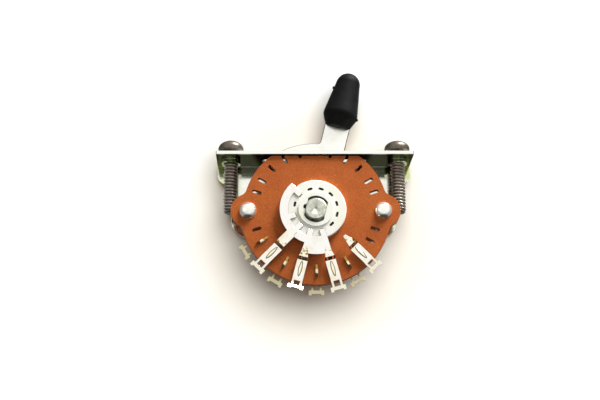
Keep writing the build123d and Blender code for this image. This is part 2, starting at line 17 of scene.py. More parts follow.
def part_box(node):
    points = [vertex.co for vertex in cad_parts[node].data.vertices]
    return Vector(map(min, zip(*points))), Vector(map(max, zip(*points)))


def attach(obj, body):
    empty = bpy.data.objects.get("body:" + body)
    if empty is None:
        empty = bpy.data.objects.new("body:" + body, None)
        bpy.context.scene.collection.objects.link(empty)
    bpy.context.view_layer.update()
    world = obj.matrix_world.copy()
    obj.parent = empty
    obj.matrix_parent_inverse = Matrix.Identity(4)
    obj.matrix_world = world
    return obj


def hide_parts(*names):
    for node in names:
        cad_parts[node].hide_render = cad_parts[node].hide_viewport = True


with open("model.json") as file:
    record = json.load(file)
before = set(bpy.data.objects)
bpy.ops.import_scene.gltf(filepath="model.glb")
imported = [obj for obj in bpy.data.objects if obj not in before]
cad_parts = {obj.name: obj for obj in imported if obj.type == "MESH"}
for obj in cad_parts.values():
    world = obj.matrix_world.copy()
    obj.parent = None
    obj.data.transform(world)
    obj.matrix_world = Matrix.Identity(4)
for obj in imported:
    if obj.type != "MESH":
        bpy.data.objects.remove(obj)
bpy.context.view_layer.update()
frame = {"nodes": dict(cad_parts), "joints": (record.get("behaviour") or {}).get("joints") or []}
MM = 0.001  # metres in a millimetre
AXIS_HEIGHT = frame["joints"][0]["pos_m"][2] / MM  # height of the shaft's axis
FIRST_CONTACT, CONTACT_PITCH = 225.0, 30.0  # degrees round the shaft
EYE_RADIUS = 14.95  # millimetres from the shaft to the middle of a contact's eye
GRAINS_PER_SHEEN = 6  # grains of the relief across one cloud of the gloss
CAD_MERGE, MERGE = 0.001 * MM, 0.002 * MM  # points closer than this become one
FLAT_WITHIN, ROUND_FROM = math.radians(0.8), math.radians(40)  # edges dissolved below, rounded above
log = logging.getLogger("switch")

Colour = tuple[int, int, int]
Range = tuple[float, float]
Place = tuple[float, float, float]


class Body(Enum):
    """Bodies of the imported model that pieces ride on."""

    FRAME = "frame"
    LEVER = "lever"


class Slot(Enum):
    """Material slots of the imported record."""

    ZINC = "zinc_plated_steel"
    BOARD = "fibre_board"
    ROTOR = "rotor_plastic"
    SILVER = "silver_plate"
    SCREW = "dark_screw_steel"
    NICKEL = "bright_nickel"
    LEVER = "lever_steel"
    SPRING = "spring_steel"
    BRASS = "turned_brass"
    TIP = "black_plastic"


class Look(Enum):
    """Finishes that pieces are dressed in."""

    FRAME = "zinc_passivated_steel"
    BOARD = "speckled_paper_laminate"
    ROTOR = "ivory_moulding"
    RING = "silver_plated_ring"
    FRONT_CONTACT = "silver_plated_front_contact"
    BACK_CONTACT = "silver_plated_back_contact"
    SCREW = "dark_gunmetal_steel"
    NICKEL = "bright_nickel_plate"
    LEVER = "bright_zinc_steel"
    SHAFT = "turned_shaft_steel"
    SPRING = "spring_steel"
    BRASS = "turned_brass"
    TIP = "satin_black_moulding"


def linear(colour: Colour) -> tuple[float, float, float, float]:
    """Turn a display colour into the linear one that shaders take.

    Args:
        colour: Red, green and blue from 0 to 255.

    Returns:
        Linear red, green, blue and a full alpha.
    """
    parts = [c / 255 for c in colour]
    return (*[p / 12.92 if p <= 0.04045 else ((p + 0.055) / 1.055) ** 2.4 for p in parts], 1.0)


class Graph:
    """Adds and links the nodes of one tree."""

    def __init__(self, tree: NodeTree) -> None:
        """Keep the tree that the nodes go into."""
        self.tree = tree

    def feed(self, socket: NodeSocket, value: Any) -> None:
        """Link a socket to another one, or set its value."""
        if isinstance(value, NodeSocket):
            self.tree.links.new(value, socket)
        else:
            socket.default_value = value

    def add(self, kind: str, inputs: Optional[dict[Any, Any]] = None, **settings: Any) -> Node:
        """Add a node.

        Args:
            kind: The node's type name.
            inputs: Values or sockets by input name or number.
            settings: Properties of the node itself.

        Returns:
            The new node.
        """
        node = self.tree.nodes.new(kind)
        for key, value in settings.items():
            setattr(node, key, value)
        for key, value in (inputs or {}).items():
            self.feed(node.inputs[key], value)
        return node

    def math(self, operation: str, *values: Any) -> NodeSocket:
        """Add a Math node and return its result."""
        return self.add("ShaderNodeMath", dict(enumerate(values)), operation=operation).outputs[0]

    def times(self, product: Any, *factors: Any) -> NodeSocket:
        """Product of two or more values."""
        for factor in factors:
            product = self.math("MULTIPLY", product, factor)
        return product

    def plus(self, first: Any, second: Any) -> NodeSocket:
        """Sum of two values."""
        return self.math("ADD", first, second)

    def minus(self, first: Any, second: Any) -> NodeSocket:
        """First value less the second one."""
        return self.math("SUBTRACT", first, second)

    def absolute(self, value: Any) -> NodeSocket:
        """Value without its sign."""
        return self.math("ABSOLUTE", value)

    def axis(self, vector: NodeSocket, which: int) -> NodeSocket:
        """One part of a vector."""
        return self.add("ShaderNodeSeparateXYZ", {0: vector}).outputs[which]

    def spread(self, value: Any, low: float, high: float, to_low: Any = 0.0, to_high: Any = 1.0,
               smooth: bool = True) -> NodeSocket:
        """Map the range from low to high to another one, with its ends held."""
        node = self.add("ShaderNodeMapRange", {0: value, 1: low, 2: high, 3: to_low, 4: to_high},
                        interpolation_type="SMOOTHSTEP" if smooth else "LINEAR")
        return node.outputs[0]


class Surface(Graph):
    """Node tree of one material, with the textures and masks that the finishes share."""

    def __init__(self, name: str) -> None:
        """Start an empty material."""
        self.material = bpy.data.materials.new(name)
        self.material.use_nodes = True
        super().__init__(self.material.node_tree)
        self.tree.nodes.clear()
        self.coords = self.add("ShaderNodeTexCoord").outputs
        self.place = self.scaled(self.coords["Object"], (1 / MM,) * 3)

    def scaled(self, vector: NodeSocket, factors: Place) -> NodeSocket:
        """Vector with each part multiplied by its own factor."""
        return self.add("ShaderNodeVectorMath", {0: vector, 1: factors}, operation="MULTIPLY").outputs[0]

    def at(self, which: int) -> NodeSocket:
        """One part of the place, in millimetres."""
        return self.axis(self.place, which)

    def facing(self, which: int) -> NodeSocket:
        """One part of the surface's normal."""
        return self.axis(self.coords["Normal"], which)

    def reach(self, first: NodeSocket, second: NodeSocket) -> NodeSocket:
        """Length of a line from its two parts."""
        return self.math("SQRT", self.plus(self.times(first, first), self.times(second, second)))

    def from_shaft(self) -> NodeSocket:
        """Distance from the shaft's axis, in millimetres."""
        return self.reach(self.at(0), self.minus(self.at(2), AXIS_HEIGHT))

    def noise(self, size: float, detail: float = 3.0, stretch: Place = (1, 1, 1),
              roughness: float = 0.5) -> NodeSocket:
        """Noise with clouds of a size in millimetres.

        Args:
            size: Size of a cloud.
            detail: Finer octaves.
            stretch: How much longer the clouds are along each axis.
            roughness: Weight of the finer octaves.

        Returns:
            A value around one half.
        """
        vector = self.scaled(self.place, tuple(1 / s for s in stretch))
        return self.add("ShaderNodeTexNoise", {"Vector": vector, "Scale": 1 / size, "Detail": detail,
                                               "Roughness": roughness}).outputs[0]

    def rises(self, value: Any, edge: float, fade: float) -> NodeSocket:
        """0 up to an edge, and 1 past a fade beyond it."""
        return self.spread(value, edge, edge + fade)

    def falls(self, value: Any, edge: float, fade: float) -> NodeSocket:
        """1 up to an edge, and 0 past a fade beyond it."""
        return self.spread(value, edge, edge + fade, 1.0, 0.0)

    def band(self, value: Any, middle: float, half: float, fade: float) -> NodeSocket:
        """1 within a half width of a middle value, and 0 past a fade."""
        return self.falls(self.absolute(self.minus(value, middle)), half, fade)

    def mix(self, share: Any, first: Any, second: Any) -> NodeSocket:
        """Mix two colours, each a socket or a display colour."""
        a, b = (linear(c) if isinstance(c, tuple) else c for c in (first, second))
        return self.add("ShaderNodeMix", {0: share, 6: a, 7: b}, data_type="RGBA").outputs[2]

    def finish(self, **inputs: Any) -> Material:
        """End in a Principled shader and return the material."""
        shader = self.add("ShaderNodeBsdfPrincipled", {k.replace("_", " "): v for k, v in inputs.items()})
        self.add("ShaderNodeOutputMaterial", {"Surface": shader.outputs[0]})
        return self.material


@dataclass(frozen=True)
class Finish:
    """A finish of two tones in clouds, with a grain in its gloss and its relief.

    Sizes are in millimetres, and gloss is the range of its roughness.
    """

    slot: Slot
    tone: Colour
    second_tone: Colour
    metallic: float = 1.0
    gloss: Range = (0.2, 0.35)
    specular: float = 0.5
    cloud: float = 3.0
    cloud_range: Range = (0.35, 0.65)
    grain: float = 0.12
    stretch: Place = (1.0, 1.0, 1.0)
    relief: float = 0.002
    # Tone of the cut edges, spread over the rounded edges too as a painted dark outline
    cut: Optional[Colour] = None
    cut_and_shade_range: Range = (0.50, 0.98)
    grazing: Colour = (255, 255, 255)

    def colour(self, s: Surface) -> NodeSocket:
        """Colour of the surface: two tones in clouds, and the tone of its cut edges, which also darkens the
        rounded edges as painted shade.
        """
        face = s.mix(s.spread(s.noise(self.cloud, 4.0), *self.cloud_range), self.tone, self.second_tone)
        if self.cut is None:
            return face
        return s.mix(s.spread(s.absolute(s.facing(1)), *self.cut_and_shade_range), self.cut, face)

    def height(self, s: Surface) -> NodeSocket:
        """Height of the fine relief, from 0 to 1."""
        return s.noise(self.grain, 4.0, self.stretch, 0.6)

    def build(self, name: str) -> Material:
        """Build the material under a name."""
        s = Surface(name)
        sheen = s.noise(self.grain * GRAINS_PER_SHEEN, 3.0, self.stretch)
        bump = s.add("ShaderNodeBump", {"Height": self.height(s), "Distance": self.relief * MM,
                                        "Strength": 1.0})
        return s.finish(Base_Color=self.colour(s), Metallic=self.metallic,
                        Roughness=s.spread(sheen, 0.3, 0.7, *self.gloss, smooth=False),
                        Specular_IOR_Level=self.specular, Specular_Tint=linear(self.grazing),
                        Normal=bump.outputs[0])


@dataclass(frozen=True)
class LaminateFinish(Finish):
    """Pressed paper laminate: fine speckle, soft clouds and darker sheared edges."""

    fleck: Colour = (150, 78, 36)
    fleck_size: float = 0.30
    fleck_range: Range = (0.50, 0.66)
    pale_fleck: Colour = (214, 134, 82)
    pale_size: float = 0.24
    pale_range: Range = (0.53, 0.70)
    edge: Colour = (150, 84, 44)
    edge_range: Range = (0.3, 0.8)
    layer: float = 0.12
    layer_stretch: Place = (8.0, 0.6, 8.0)

    def colour(self, s: Surface) -> NodeSocket:
        """Clouds, dark and pale flecks, and the colour of the sheared edge."""
        dark = s.spread(s.noise(self.fleck_size, 5.0, roughness=0.75), *self.fleck_range, 0.0, 0.9)
        pale = s.spread(s.noise(self.pale_size, 4.0, (1.6, 1.0, 1.0), 0.7), *self.pale_range, 0.0, 0.75)
        face = s.mix(pale, s.mix(dark, super().colour(s), self.fleck), self.pale_fleck)
        edge = s.mix(s.noise(self.layer, 2.0, self.layer_stretch), self.edge, self.fleck)
        return s.mix(s.spread(s.absolute(s.facing(1)), *self.edge_range), edge, face)


@dataclass(frozen=True)
class PassivatedFinish(Finish):
    """Zinc plate with yellow-green passivation that gathers at the plate's ends."""

    tint: Colour = (222, 226, 128)
    deep_tint: Colour = (200, 222, 150)
    tint_range: Range = (17.0, 23.0)
    tint_share: float = 0.04
    tint_gain: float = 0.8
    tint_floor: float = 0.3
    tint_patch: float = 4.5
    hue_patch: float = 2.2
    facing_away: Range = (-0.9, -0.5)
    front_edge: float = -5.35
    edge_tone: Colour = (253, 254, 248)
    shade: Colour = (54, 54, 49)
    shade_tint: float = 0.16
    shade_from: float = -2.4
    collar_tones: tuple[Colour, Colour] = ((126, 172, 100), (252, 252, 222))
    collar_patch: float = 1.3
    collar_top: float = -0.95
    collar_back: float = 3.5
    wafer_shadow: Colour = (128, 92, 56)
    wafer_shadow_from: float = -7.2
    wafer_shadow_half: float = 12.6

    def behind_wafer(self, s: Surface) -> NodeSocket:
        """1 on the back plate's front where the top of the wafer hides it and its shadow is painted, and 0
        elsewhere.
        """
        return s.times(s.spread(s.facing(1), *self.facing_away, 1.0, 0.0),
                       s.rises(s.at(2), self.wafer_shadow_from, 1.2), s.rises(s.at(1), self.collar_back, 0.1),
                       s.falls(s.absolute(s.at(0)), self.wafer_shadow_half - 1.0, 1.0))

    def collar(self, s: Surface) -> NodeSocket:
        """1 on the threaded collars under the flange, and 0 elsewhere."""
        return s.times(s.falls(s.at(2), self.collar_top - 0.05, 0.05), s.falls(s.at(1), self.collar_back, 0.1))

    def colour(self, s: Surface) -> NodeSocket:
        """Zinc clouds with painted shade under the flange, tint towards both ends, a bright front edge, and
        painted shadow of the wafer on the back plate.
        """
        # Painted shade on the faces under the flange, which also keep less of the tint there
        under = s.times(s.spread(s.facing(2), *self.facing_away, 1.0, 0.0),
                        s.rises(s.at(2), self.shade_from, 0.2))
        base = s.mix(under, super().colour(s), self.shade)
        ends = s.spread(s.absolute(s.at(0)), *self.tint_range)
        patches = s.spread(s.noise(self.tint_patch), 0.38, 0.60, self.tint_floor, 1.0)
        amount = s.times(s.plus(self.tint_share, s.times(ends, self.tint_gain)), patches)
        kept = s.spread(under, 0.0, 1.0, 1.0, self.shade_tint)
        hue = s.mix(s.spread(s.noise(self.hue_patch, 2.0), 0.4, 0.6), self.tint, self.deep_tint)
        plate = s.mix(s.rises(s.at(1), self.front_edge, 0.15), self.edge_tone,
                      s.mix(s.times(amount, kept), base, hue))
        # Painted shadow of the wafer's top on the back plate
        plate = s.mix(self.behind_wafer(s), plate, self.wafer_shadow)
        stain = s.mix(s.spread(s.noise(self.collar_patch, 2.0), 0.38, 0.54), *self.collar_tones)
        return s.mix(self.collar(s), plate, stain)


@dataclass(frozen=True)
class ContactFinish(Finish):
    """Silver plate, yellower towards the lugs, with a gold tab clinched through the wafer that carries a painted
    highlight and painted shade.
    """

    gilt: Colour = (190, 150, 74)
    tab_highlight: Colour = (255, 240, 200)
    tab_end_shade: Colour = (66, 46, 24)
    lug_tone: Colour = (226, 212, 168)
    lug_share: float = 0.75
    tab_depth: float = -5.02
    tab_beyond: bool = False
    tab_radius: float = 14.85
    tab_half: float = 0.32
    lug_radius: float = 17.4

    def colour(self, s: Surface) -> NodeSocket:
        """Silver clouds, yellower lugs, and a gold tab with a painted highlight along its middle and painted
        shade at its outer end.
        """
        radius = s.from_shaft()
        # Yellower tone over the lugs, further from the shaft
        lug = s.spread(radius, self.lug_radius, self.lug_radius + 1.2, 0.0, self.lug_share)
        plate = s.mix(lug, super().colour(s), self.lug_tone)
        mask = s.rises if self.tab_beyond else s.falls
        beyond = mask(s.at(1), self.tab_depth - 0.06, 0.08)
        # Painted highlight along the middle of the gold tab, and painted shade at its outer end
        gold_and_painted_light = s.mix(s.band(radius, self.tab_radius + 0.1, self.tab_half, 0.2), self.gilt, self.tab_highlight)
        end = s.rises(radius, self.tab_radius + 0.5, 0.25)
        return s.mix(beyond, plate, s.mix(end, gold_and_painted_light, self.tab_end_shade))


@dataclass(frozen=True)
class EyedContactFinish(ContactFinish):
    """Finish of the contacts whose body has a raised eye, with a painted dark outline as shade in its crease."""

    eye_half: Range = (1.95, 0.38)
    line: float = 0.05
    crease_shade: Colour = (70, 70, 52)
    cream: Colour = (246, 238, 198)
    neck_blot_radius: float = 11.2
    neck_blot_half: float = 1.1
    neck_reflection: Colour = (206, 178, 108)
    neck_shade: Colour = (74, 56, 30)

    def eye(self, s: Surface, radius: NodeSocket) -> tuple[NodeSocket, NodeSocket]:
        """Shares of the eye's middle and of its outline, at a distance from the shaft."""
        pitch = math.radians(CONTACT_PITCH)
        angle = s.math("ARCTAN2", s.minus(s.at(2), AXIS_HEIGHT), s.at(0))
        turn = s.math("DIVIDE", s.minus(angle, math.radians(FIRST_CONTACT - 360)), pitch)
        off = s.minus(turn, s.math("ROUND", turn))
        across = s.absolute(s.times(off, pitch, radius))
        along = s.math("DIVIDE", s.minus(radius, EYE_RADIUS), self.eye_half[0])
        bulge = s.minus(1.0, s.times(along, along))
        edge = s.minus(across, s.times(bulge, self.eye_half[1]))
        within = s.times(s.falls(s.at(1), self.tab_depth - 2.0, 0.1), s.rises(bulge, 0.0, 0.06))
        middle = s.times(within, s.spread(edge, -0.06, 0.0, 0.8, 0.0))
        return middle, s.times(within, s.band(edge, 0.0, self.line, 0.06))

    def colour(self, s: Surface) -> NodeSocket:
        """The contact's colour, with the eye's cream middle, painted shade along its crease, and painted
        reflection and shade on the neck.
        """
        radius = s.from_shaft()
        middle, outline = self.eye(s, radius)
        plate = s.mix(middle, super().colour(s), self.cream)
        # Painted reflection of the wafer in gold blots and painted shade in dark ones, on the neck before the
        # finger
        blots = s.noise(1.5, 2.0)
        gold_and_painted_light = s.mix(s.spread(blots, 0.60, 0.64), self.neck_reflection, self.neck_shade)
        share = s.times(s.band(radius, self.neck_blot_radius, self.neck_blot_half, 0.3), s.spread(blots, 0.53, 0.57))
        # Painted shade along the eye's crease
        return s.mix(outline, s.mix(share, plate, gold_and_painted_light), self.crease_shade)


@dataclass(frozen=True)
class TurnedFinish(Finish):
    """Metal with rings from the lathe round the shaft's axis."""

    ring: float = 0.14
    sunk_shade: Colour = (104, 106, 94)
    sunk_from: float = 90.0
    sunk_to: float = -3.0

    def colour(self, s: Surface) -> NodeSocket:
        """Clouds, and painted shade on what lies just behind the end face."""
        depth = s.at(1)
        # Painted shade on the shaft inside the rotor's hole
        sunk = s.times(s.rises(depth, self.sunk_from, 0.12), s.falls(depth, self.sunk_to, 0.5))
        return s.mix(sunk, super().colour(s), self.sunk_shade)

    def height(self, s: Surface) -> NodeSocket:
        """Rings round the axis, broken up by noise."""
        turns = s.times(s.from_shaft(), 2 * math.pi / self.ring)
        rings = s.plus(0.5, s.times(s.math("SINE", turns), 0.5))
        return s.plus(s.times(rings, 0.5), s.times(super().height(s), 0.5))


@dataclass(frozen=True)
class RotorFinish(Finish):
    """Moulding with painted shade in its punched slots."""

    slot_shade: Colour = (84, 58, 34)
    slot_radius: float = 5.2
    slot_half: float = 0.72
    faces: Range = (-6.1, -2.3)

    def colour(self, s: Surface) -> NodeSocket:
        """Clouded moulding, and painted shade below the outer faces in the ring of slots."""
        front, back = self.faces
        depth = s.at(1)
        shaded_slots = s.times(s.band(s.from_shaft(), self.slot_radius, self.slot_half, 0.04),
                          s.times(s.rises(depth, front + 0.04, 0.16), s.falls(depth, back - 0.2, 0.16)))
        return s.mix(shaded_slots, super().colour(s), self.slot_shade)


@dataclass(frozen=True)
class ThreadFinish(Finish):
    """Dark plated screw with a painted highlight on its thread's crests."""

    root: Colour = (112, 103, 93)
    head: Colour = (104, 96, 88)
    screw_place: float = 20.6375
    radii: Range = (1.38, 1.64)
    head_from: float = -0.5

    def colour(self, s: Surface) -> NodeSocket:
        """Painted highlight of the bright clouds on the crests, the plate's dark tone between them, and the
        head's dark tone.
        """
        off = s.reach(s.minus(s.absolute(s.at(0)), self.screw_place), s.at(1))
        # Painted highlight on the thread's crests
        shank = s.mix(s.spread(off, *self.radii), self.root, super().colour(s))
        return s.mix(s.rises(s.at(2), self.head_from - 0.1, 0.1), shank, self.head)


SILVER = {"gloss": (0.14, 0.26), "cloud": 1.8, "cloud_range": (0.45, 0.72), "grain": 0.07,
          "stretch": (1.0, 1.0, 3.0), "relief": 0.0015}
FINISHES: dict[Look, Finish] = {
    Look.FRAME: PassivatedFinish(
        Slot.ZINC, (252, 252, 247), (240, 243, 234), gloss=(0.09, 0.17), cloud=5.0, grain=0.10,
        stretch=(9.0, 1.0, 1.0), relief=0.0022, grazing=(184, 186, 178)),
    Look.BOARD: LaminateFinish(
        Slot.BOARD, (191, 97, 37), (182, 89, 32), metallic=0.0, gloss=(0.46, 0.62), specular=0.2,
        cloud=4.0, grain=0.11, relief=0.006),
    Look.ROTOR: RotorFinish(
        Slot.ROTOR, (255, 255, 246), (254, 252, 234), metallic=0.0, gloss=(0.34, 0.46), specular=0.9,
        cloud=3.5, grain=0.16, relief=0.0018),
    Look.RING: Finish(
        Slot.SILVER, (252, 251, 246), (246, 243, 234), cut=(84, 82, 70), cut_and_shade_range=(0.6, 0.99),
        grazing=(170, 170, 158), **SILVER),
    Look.FRONT_CONTACT: EyedContactFinish(
        Slot.SILVER, (252, 250, 240), (246, 238, 214), tab_depth=-3.40, tab_beyond=True, lug_share=0.4,
        cut=(112, 100, 66), **SILVER),
    Look.BACK_CONTACT: ContactFinish(
        Slot.SILVER, (255, 251, 234), (246, 238, 208), metallic=0.6, gloss=(0.32, 0.46), cloud=1.8,
        grain=0.07, relief=0.0012, cut=(112, 98, 56), lug_tone=(222, 208, 156), lug_share=0.65),
    # The two tones are the painted highlight on the crests; root and head hold the plate's own dark tone
    Look.SCREW: ThreadFinish(
        Slot.SCREW, (208, 198, 187), (180, 170, 160), metallic=0.7, gloss=(0.26, 0.42), cloud=1.2,
        grain=0.09, relief=0.003),
    Look.NICKEL: Finish(
        Slot.NICKEL, (255, 254, 246), (248, 246, 234), metallic=0.85, gloss=(0.10, 0.18), cloud=1.4,
        grain=0.12, relief=0.0008),
    Look.LEVER: Finish(
        Slot.LEVER, (252, 252, 246), (246, 246, 238), gloss=(0.26, 0.38), cloud=2.4, grain=0.12,
        relief=0.0008, cut=(66, 67, 54), cut_and_shade_range=(0.86, 0.999), grazing=(170, 170, 152)),
    Look.SHAFT: TurnedFinish(
        Slot.LEVER, (206, 207, 194), (178, 178, 164), gloss=(0.34, 0.50), cloud=0.7, grain=0.16,
        stretch=(1.0, 3.0, 1.0), relief=0.004, ring=0.3, sunk_from=-6.5),
    Look.SPRING: Finish(
        Slot.SPRING, (186, 186, 182), (164, 162, 154), gloss=(0.18, 0.32), cloud=1.6, grain=0.08,
        stretch=(7.0, 1.0, 1.0), relief=0.0015),
    Look.BRASS: TurnedFinish(
        Slot.BRASS, (214, 186, 120), (196, 164, 98), gloss=(0.20, 0.34), cloud=1.8, grain=0.10,
        relief=0.002, ring=0.22),
    Look.TIP: Finish(
        Slot.TIP, (25, 26, 25), (19, 20, 19), metallic=0.0, gloss=(0.50, 0.62), specular=0.05, cloud=2.0,
        grain=0.10, relief=0.004),
}


def plain_mesh(name: str, bm: BMesh, sharp: float = 40.0) -> Mesh:
    """Turn a working mesh into a clean one with smooth faces and sharp corners.

    Args:
        name: Name of the new mesh.
        bm: The working mesh, which is freed.
        sharp: Angle in degrees from which an edge stays sharp.

    Returns:
        The new mesh.
    """
    bm.verts.index_update()
    points = [v.co.copy() for v in bm.verts]
    faces = [[v.index for v in f.verts] for f in bm.faces]
    bm.free()
    mesh = bpy.data.meshes.new(name)
    mesh.from_pydata(points, [], faces)
    mesh.polygons.foreach_set("use_smooth", [True] * len(mesh.polygons))
    mesh.set_sharp_from_angle(angle=math.radians(sharp))
    mesh.update()
    return mesh


def linked(name: str, data: bpy.types.ID) -> Object:
    """Make an object of a mesh, camera or lamp and put it in the scene."""
    obj = bpy.data.objects.new(name, data)
    bpy.context.scene.collection.objects.link(obj)
    return obj


def evaluated(obj: Object) -> Mesh:
    """Mesh of an object with its modifiers applied."""
    depsgraph = bpy.context.evaluated_depsgraph_get()
    return bpy.data.meshes.new_from_object(obj.evaluated_get(depsgraph))


def reopened(mesh: Mesh) -> BMesh:
    """Working mesh of a finished one, which is removed."""
    bm = bmesh.new()
    bm.from_mesh(mesh)
    bpy.data.meshes.remove(mesh)
    return bm


def discard(*objects: Object) -> None:
    """Remove helper objects and their meshes."""
    for obj in objects:
        mesh = obj.data
        bpy.data.objects.remove(obj)
        bpy.data.meshes.remove(mesh)


def moved(place: Sequence[float] = (0, 0, 0), turn: float = 0.0, axis: str = "Z") -> Matrix:
    """Turn in degrees about an axis through the origin, then a move to a place in millimetres."""
    return Matrix.Translation([c * MM for c in place]) @ Matrix.Rotation(math.radians(turn), 4, axis)


def arc(centre: Range, radii: Range, start: float, end: float, steps: int) -> list[Range]:
    """Points of an elliptical arc in a turned section.

    Args:
        centre: Distance from the axis and height of the centre.
        radii: Half axes across and along.
        start: First angle in degrees, 0 pointing away from the axis.
        end: Last angle in degrees.
        steps: Pieces that the arc is cut into.

    Returns:
        Pairs of distance from the axis and height.
    """
    turns = [math.radians(start + (end - start) * k / steps) for k in range(steps + 1)]
    return [(centre[0] + radii[0] * math.cos(t), centre[1] + radii[1] * math.sin(t)) for t in turns]


class NodeTool(Graph):
    """A Geometry Nodes tree with named inputs, which is run once on an empty mesh."""

    def __init__(self, name: str, sockets: dict[str, str]) -> None:
        """Start a tree.

        Args:
            name: Name of the tree.
            sockets: Socket type of each named input.
        """
        super().__init__(bpy.data.node_groups.new(name, "GeometryNodeTree"))
        face = self.tree.interface
        self.keys = {
            label: face.new_socket(name=label, in_out="INPUT", socket_type=f"NodeSocket{kind}").identifier
            for label, kind in sockets.items()
        }
        face.new_socket(name="Geometry", in_out="OUTPUT", socket_type="NodeSocketGeometry")
        self.given = self.add("NodeGroupInput").outputs

    def wrapped_grid(self, sides: NodeSocket, rings: NodeSocket) -> tuple[NodeSocket, ...]:
        """Grid that is to be wrapped round an axis.

        Args:
            sides: Faces round the axis.
            rings: Points along it.

        Returns:
            The grid, each point's turn in radians, and its share of the length.
        """
        grid = self.add("GeometryNodeMeshGrid", {"Size X": 1.0, "Size Y": 1.0,
                                                 "Vertices X": self.plus(sides, 1), "Vertices Y": rings})
        place = self.add("GeometryNodeInputPosition").outputs[0]
        turn = self.times(self.plus(self.axis(place, 0), 0.5), 2 * math.pi)
        return grid.outputs["Mesh"], turn, self.plus(self.axis(place, 1), 0.5)

    def turned(self, grid: NodeSocket, turn: NodeSocket, radius: NodeSocket,
               along: NodeSocket) -> NodeSocket:
        """Put each point of a grid at a radius round the Y axis, and close the seam."""
        position = self.add("ShaderNodeCombineXYZ", {
            0: self.times(radius, self.math("COSINE", turn)), 1: along,
            2: self.times(radius, self.math("SINE", turn)),
        })
        moved = self.add("GeometryNodeSetPosition", {"Geometry": grid, "Position": position.outputs[0]})
        merged = self.add("GeometryNodeMergeByDistance", {"Geometry": moved.outputs[0], "Distance": MERGE})
        return merged.outputs[0]

    def close(self, geometry: NodeSocket) -> None:
        """End the tree in Realize Instances and Set Material."""
        real = self.add("GeometryNodeRealizeInstances", {0: geometry})
        dressed = self.add("GeometryNodeSetMaterial", {"Geometry": real.outputs[0],
                                                       "Material": self.given["Material"]})
        self.add("NodeGroupOutput", {0: dressed.outputs[0]})

    def run(self, name: str, values: dict[str, Any]) -> BMesh:
        """Run the tree and return the result as a closed working mesh.

        Args:
            name: Name of the piece.
            values: Value of each named input.

        Returns:
            The working mesh, with its faces pointing outwards.
        """
        holder = linked(name, bpy.data.meshes.new(name))
        modifier = holder.modifiers.new(name, "NODES")
        modifier.node_group = self.tree
        for label, value in values.items():
            modifier[self.keys[label]] = value
        bm = reopened(evaluated(holder))
        discard(holder)
        bmesh.ops.remove_doubles(bm, verts=bm.verts, dist=MERGE)
        bmesh.ops.holes_fill(bm, edges=bm.edges, sides=0)
        bmesh.ops.recalc_face_normals(bm, faces=bm.faces)
        return bm


class TurnedRow(NodeTool):
    """Turned pieces in a row: a section is turned round the Y axis and repeated."""

    def __init__(self) -> None:
        """Build the tree."""
        super().__init__("turned_row", {
            "Section": "Object", "Sides": "Int", "Count": "Int", "Start": "Vector", "Step": "Vector",
            "Material": "Material",
        })
        section = self.add("GeometryNodeObjectInfo", {"Object": self.given["Section"]}).outputs["Geometry"]
        count = self.add("GeometryNodeAttributeDomainSize", {"Geometry": section}).outputs["Point Count"]
        grid, turn, share = self.wrapped_grid(self.given["Sides"], count)
        row = self.math("ROUND", self.times(share, self.minus(count, 1)))
        place = self.add("GeometryNodeInputPosition").outputs[0]
        sample = self.add("GeometryNodeSampleIndex", {"Geometry": section}, data_type="FLOAT_VECTOR")
        self.feed(sample.inputs["Value"], place)
        self.feed(sample.inputs["Index"], row)
        point = sample.outputs[0]
        piece = self.turned(grid, turn, self.axis(point, 0), self.axis(point, 1))
        line = self.add("GeometryNodeMeshLine", {
            "Count": self.given["Count"], "Start Location": self.given["Start"], "Offset": self.given["Step"],
        })
        copies = self.add("GeometryNodeInstanceOnPoints", {"Points": line.outputs[0], "Instance": piece})
        self.close(copies.outputs[0])

    def make(self, name: str, section: Iterable[Range], material: Material, sides: int,
             places: Sequence[Place] = ((0.0, 0.0, 0.0),)) -> BMesh:
        """Make a row of turned pieces.

        Args:
            name: Name of the piece.
            section: Distance from the axis and place along it, in millimetres.
            material: Finish of the piece.
            sides: Faces round the axis.
            places: First place and, for a row of two, the second one, in millimetres.

        Returns:
            The working mesh.
        """
        points = [Vector((r, h, 0)) * MM for r, h in section]
        outline = bpy.data.meshes.new(f"{name}_section")
        outline.from_pydata(points, [(k, k + 1) for k in range(len(points) - 1)], [])
        holder = linked(outline.name, outline)
        start, end = Vector(places[0]) * MM, Vector(places[-1]) * MM
        bm = self.run(name, {"Section": holder, "Sides": sides, "Count": len(places), "Start": start,
                             "Step": end - start, "Material": material})
        discard(holder)
        return bm


class ThreadedShank(NodeTool):
    """Screw shank: a grid wrapped round the Y axis, whose radius follows the thread's helix."""

    FLANK: Range = (0.10, 0.86)

    def __init__(self) -> None:
        """Build the tree."""
        super().__init__("threaded_shank", {
            "Length": "Float", "Crest radius": "Float", "Root radius": "Float", "Pitch": "Float",
            "Chamfer": "Float", "Sides": "Int", "Rings": "Int", "Material": "Material",
        })
        given = self.given
        grid, turn, share = self.wrapped_grid(given["Sides"], given["Rings"])
        along = self.times(share, given["Length"])
        phase = self.minus(self.math("DIVIDE", along, given["Pitch"]), self.math("DIVIDE", turn, 2 * math.pi))
        wave = self.absolute(self.minus(self.times(self.math("FRACT", phase), 2), 1))
        flank = self.spread(wave, *self.FLANK, given["Root radius"], given["Crest radius"], smooth=False)
        bevel = self.plus(self.minus(given["Crest radius"], given["Chamfer"]), along)
        radius = self.math("MINIMUM", flank, bevel)
        self.close(self.turned(grid, turn, radius, along))


